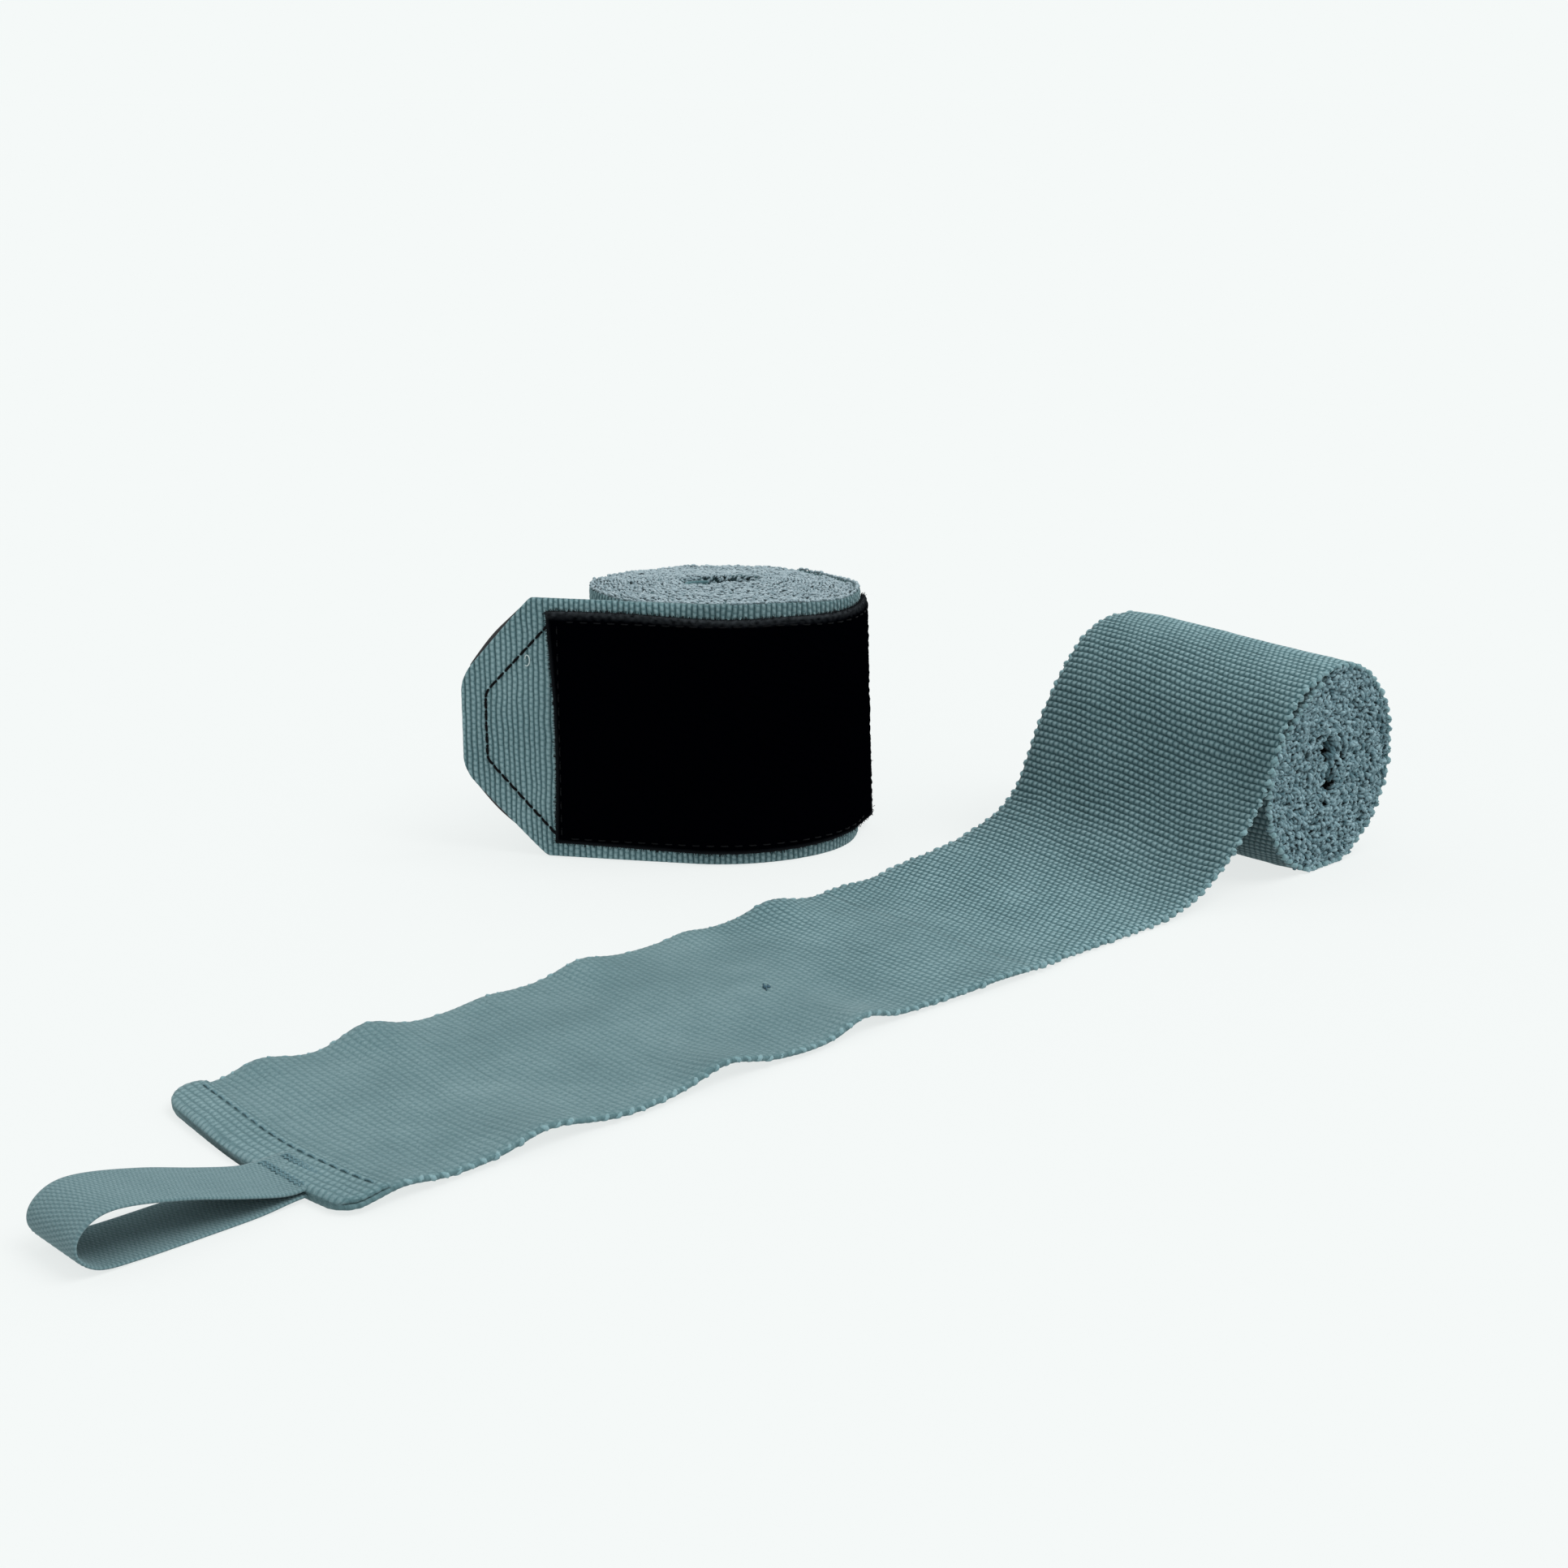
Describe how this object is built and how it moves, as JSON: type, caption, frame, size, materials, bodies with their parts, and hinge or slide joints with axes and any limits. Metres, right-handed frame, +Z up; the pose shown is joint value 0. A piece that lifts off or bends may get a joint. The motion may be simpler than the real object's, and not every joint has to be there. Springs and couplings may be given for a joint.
{
  "type": "hand wrap",
  "caption": "Pair of ribbed elastic hand wraps: one rolled up standing with its hook-and-loop flap loose, one lying part unrolled with a thumb loop at its free end.",
  "frame": {"origin": "middle of the closed roll's core, on the face that it stands on", "axes": "+X along the laid-out strip from its free end towards its roll, +Y from the strip towards the closed roll, +Z up"},
  "size_m": [0.2709, 0.1196, 0.05],
  "materials": {
    "wrap_fabric": "ribbed elastic knit, matt",
    "loop_tape": "narrow woven tape, matt",
    "matching_thread": "spun thread",
    "black_thread": "spun thread",
    "loop_pile": "brushed loop pile, matt",
    "hook_tape": "moulded hooks"
  },
  "bodies": {
    "open_roll": {"open_band_roll": "wrap_fabric", "open_band_ramp": "wrap_fabric", "open_tip": "wrap_fabric", "open_hook_patch": "hook_tape", "open_tip_seam": "black_thread", "open_loop_panel": "loop_pile", "open_panel_seam": "black_thread"},
    "strip_near": {"open_band_tail": "wrap_fabric"},
    "strip_end": {"open_band_end": "wrap_fabric", "open_end_hem": "wrap_fabric", "open_hem_seam": "matching_thread", "open_loop_tack": "matching_thread"},
    "thumb_loop": {"open_thumb_loop": "loop_tape"},
    "closed_roll": {"closed_band_roll": "wrap_fabric", "closed_loop_panel_wound": "loop_pile", "closed_panel_seam_wound": "black_thread", "closed_end_hem": "wrap_fabric", "closed_hem_seam": "matching_thread", "closed_thumb_loop": "loop_tape", "closed_loop_tack": "matching_thread"},
    "closed_flap": {"closed_band_flap": "wrap_fabric", "closed_loop_panel_flap": "loop_pile", "closed_panel_seam_flap": "black_thread"},
    "closed_tip_end": {"closed_tip": "wrap_fabric", "closed_hook_patch": "hook_tape", "closed_tip_seam": "black_thread"}
  },
  "joints": [
    {"name": "strip_lift", "type": "hinge", "parent": "open_roll", "child": "strip_near", "pos_m": [0.01053, -0.0745, 0.0009], "axis": [0, 1, 0], "range_deg": [0, 75]},
    {"name": "strip_end_lift", "type": "hinge", "parent": "strip_near", "child": "strip_end", "pos_m": [-0.07298, -0.0745, 0.0009], "axis": [0, 1, 0], "range_deg": [0, 75]},
    {"name": "thumb_loop_flip", "type": "hinge", "parent": "strip_end", "child": "thumb_loop", "pos_m": [-0.1565, -0.0855, 0.0015], "axis": [0, 1, 0], "range_deg": [0, 120]},
    {"name": "closed_roll_pick_up", "type": "slide", "parent": "open_roll", "child": "closed_roll", "axis": [0, 0, 1], "range_m": [0, 0.1]},
    {"name": "flap_peel", "type": "hinge", "parent": "closed_roll", "child": "closed_flap", "pos_m": [-0.02375, -0.01706, 0.025], "axis": [0, 0, 1], "range_deg": [0, 80]},
    {"name": "tip_bend", "type": "hinge", "parent": "closed_flap", "child": "closed_tip_end", "pos_m": [-0.03738, 0.00515, 0.025], "axis": [0, 0, 1], "range_deg": [-70, 45]}
  ]
}
